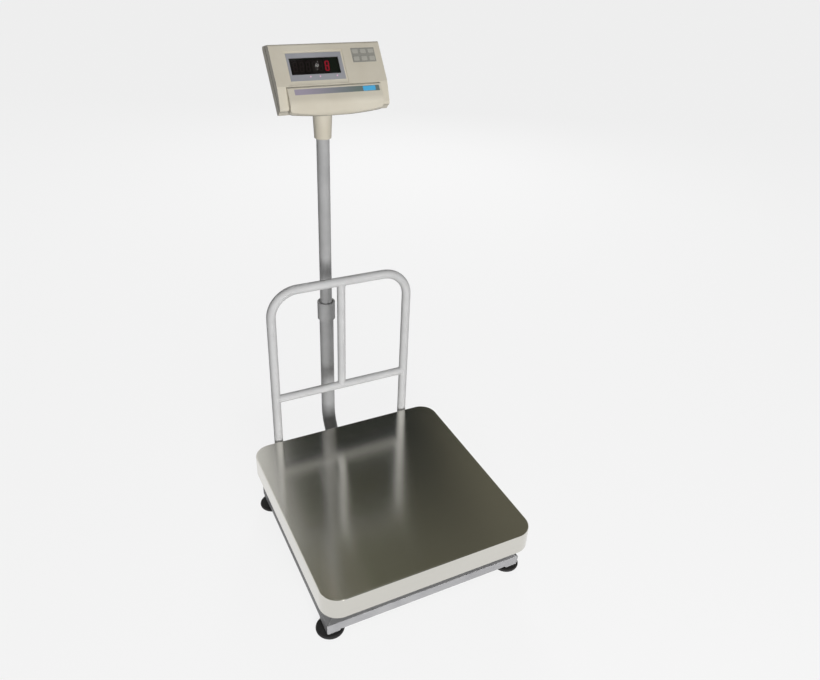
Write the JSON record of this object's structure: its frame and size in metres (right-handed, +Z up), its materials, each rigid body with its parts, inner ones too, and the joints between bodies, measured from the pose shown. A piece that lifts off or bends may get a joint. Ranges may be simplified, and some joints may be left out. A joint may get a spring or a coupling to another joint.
{
  "type": "platform scale",
  "caption": "Floor-standing electronic platform scale: stainless platter on a tube base with levelling feet, a tube guard rail and a column with a tilting indicator.",
  "frame": {"origin": "on the floor, at the centre of the bounding box in plan", "axes": "+X along the front edge to the right of a user who faces the indicator, +Y to the rear, where the column stands, +Z up"},
  "size_m": [0.504, 0.6816, 1.0782],
  "materials": {
    "stainless": "brushed stainless sheet",
    "frame_paint": "grey enamel, satin",
    "rail_paint": "light grey enamel, semi-gloss",
    "column_paint": "grey enamel, semi-gloss",
    "rubber": "moulded black rubber, matt",
    "zinc": "zinc plated steel",
    "cell_aluminium": "machined, anodised",
    "housing_plastic": "beige moulded ABS",
    "bush_plastic": "natural nylon",
    "knob_plastic": "black moulded nylon",
    "lens": "dark tinted acrylic",
    "surround_film": "printed polycarbonate film, grey",
    "lamp_red": "red lamp lens",
    "digit_plastic": "dark digit block",
    "strip_film": "grey film",
    "keypad_film": "grey film",
    "key_plastic": "light grey keys",
    "board_laminate": "green epoxy laminate",
    "battery_case": "black battery case"
  },
  "bodies": {
    "base": {"base_tube_front": "frame_paint", "base_tube_rear": "frame_paint", "base_tube_left": "frame_paint", "base_tube_right": "frame_paint", "base_beams": "frame_paint", "corner_legs": "frame_paint", "foot_locknuts": "zinc", "load_cell": "cell_aluminium", "cell_spacers": "frame_paint", "cell_bolts": "zinc", "carrier_beam_front": "frame_paint", "carrier_beam_rear": "frame_paint", "carrier_spine": "frame_paint", "carrier_pads": "rubber", "overload_stops": "zinc", "guard_hoop": "rail_paint", "guard_crossbar": "rail_paint", "guard_centre_bar": "rail_paint", "guard_brackets": "frame_paint", "guard_bolts": "zinc", "column_tube": "column_paint", "column_bolts": "zinc", "column_collar": "column_paint", "column_bush": "bush_plastic", "column_lock_bolt": "zinc"},
    "platter": {"platter": "stainless"},
    "mast": {"mast": "column_paint"},
    "neck": {"neck": "housing_plastic", "neck_screw": "zinc"},
    "indicator": {"front_shell": "housing_plastic", "rear_shell": "housing_plastic", "case_screws": "zinc", "window_surround": "surround_film", "window_lens": "lens", "status_lamps": "lamp_red", "digit_module": "digit_plastic", "accent_strip": "strip_film", "keypad_panel": "keypad_film", "circuit_board": "board_laminate", "board_standoffs": "bush_plastic", "backup_battery": "battery_case", "cable_inlets": "knob_plastic", "tilt_bolt": "zinc"},
    "tilt_knob": {"tilt_knob": "knob_plastic"},
    "foot_front_left": {"foot_pad_front_left": "rubber", "foot_stud_front_left": "zinc"},
    "foot_front_right": {"foot_pad_front_right": "rubber", "foot_stud_front_right": "zinc"},
    "foot_rear_left": {"foot_pad_rear_left": "rubber", "foot_stud_rear_left": "zinc"},
    "foot_rear_right": {"foot_pad_rear_right": "rubber", "foot_stud_rear_right": "zinc"},
    "key_1": {"key_1": "key_plastic"},
    "key_2": {"key_2": "key_plastic"},
    "key_3": {"key_3": "key_plastic"},
    "key_4": {"key_4": "key_plastic"},
    "key_5": {"key_5": "key_plastic"},
    "key_6": {"key_6": "key_plastic"}
  },
  "joints": [
    {"name": "platter_lift", "type": "slide", "parent": "base", "child": "platter", "axis": [0, 0, 1], "range_m": [0, 0.12]},
    {"name": "foot_front_left_level", "type": "slide", "parent": "base", "child": "foot_front_left", "axis": [0, 0, -1], "range_m": [0, 0.012]},
    {"name": "foot_front_right_level", "type": "slide", "parent": "base", "child": "foot_front_right", "axis": [0, 0, -1], "range_m": [0, 0.012]},
    {"name": "foot_rear_left_level", "type": "slide", "parent": "base", "child": "foot_rear_left", "axis": [0, 0, -1], "range_m": [0, 0.012]},
    {"name": "foot_rear_right_level", "type": "slide", "parent": "base", "child": "foot_rear_right", "axis": [0, 0, -1], "range_m": [0, 0.012]},
    {"name": "mast_height", "type": "slide", "parent": "base", "child": "mast", "axis": [0, 0, 1], "range_m": [-0.1, 0.05]},
    {"name": "neck_swivel", "type": "hinge", "parent": "mast", "child": "neck", "pos_m": [0, 0.30675, 0.89], "axis": [0, 0, 1], "range_deg": [-90, 90]},
    {"name": "indicator_tilt", "type": "hinge", "parent": "neck", "child": "indicator", "pos_m": [0, 0.29375, 0.989], "axis": [1, 0, 0], "range_deg": [-20, 20]},
    {"name": "tilt_knob_turn", "type": "hinge", "parent": "indicator", "child": "tilt_knob", "pos_m": [0, 0.29375, 0.989], "axis": [1, 0, 0], "range_deg": [-180, 180]},
    {"name": "key_1_press", "type": "slide", "parent": "indicator", "child": "key_1", "axis": [0, 0.8028, -0.5962], "range_m": [0, 0.0006], "stiffness_N_per_m": 3000},
    {"name": "key_2_press", "type": "slide", "parent": "indicator", "child": "key_2", "axis": [0, 0.8028, -0.5962], "range_m": [0, 0.0006], "stiffness_N_per_m": 3000},
    {"name": "key_3_press", "type": "slide", "parent": "indicator", "child": "key_3", "axis": [0, 0.8028, -0.5962], "range_m": [0, 0.0006], "stiffness_N_per_m": 3000},
    {"name": "key_4_press", "type": "slide", "parent": "indicator", "child": "key_4", "axis": [0, 0.8028, -0.5962], "range_m": [0, 0.0006], "stiffness_N_per_m": 3000},
    {"name": "key_5_press", "type": "slide", "parent": "indicator", "child": "key_5", "axis": [0, 0.8028, -0.5962], "range_m": [0, 0.0006], "stiffness_N_per_m": 3000},
    {"name": "key_6_press", "type": "slide", "parent": "indicator", "child": "key_6", "axis": [0, 0.8028, -0.5962], "range_m": [0, 0.0006], "stiffness_N_per_m": 3000}
  ]
}
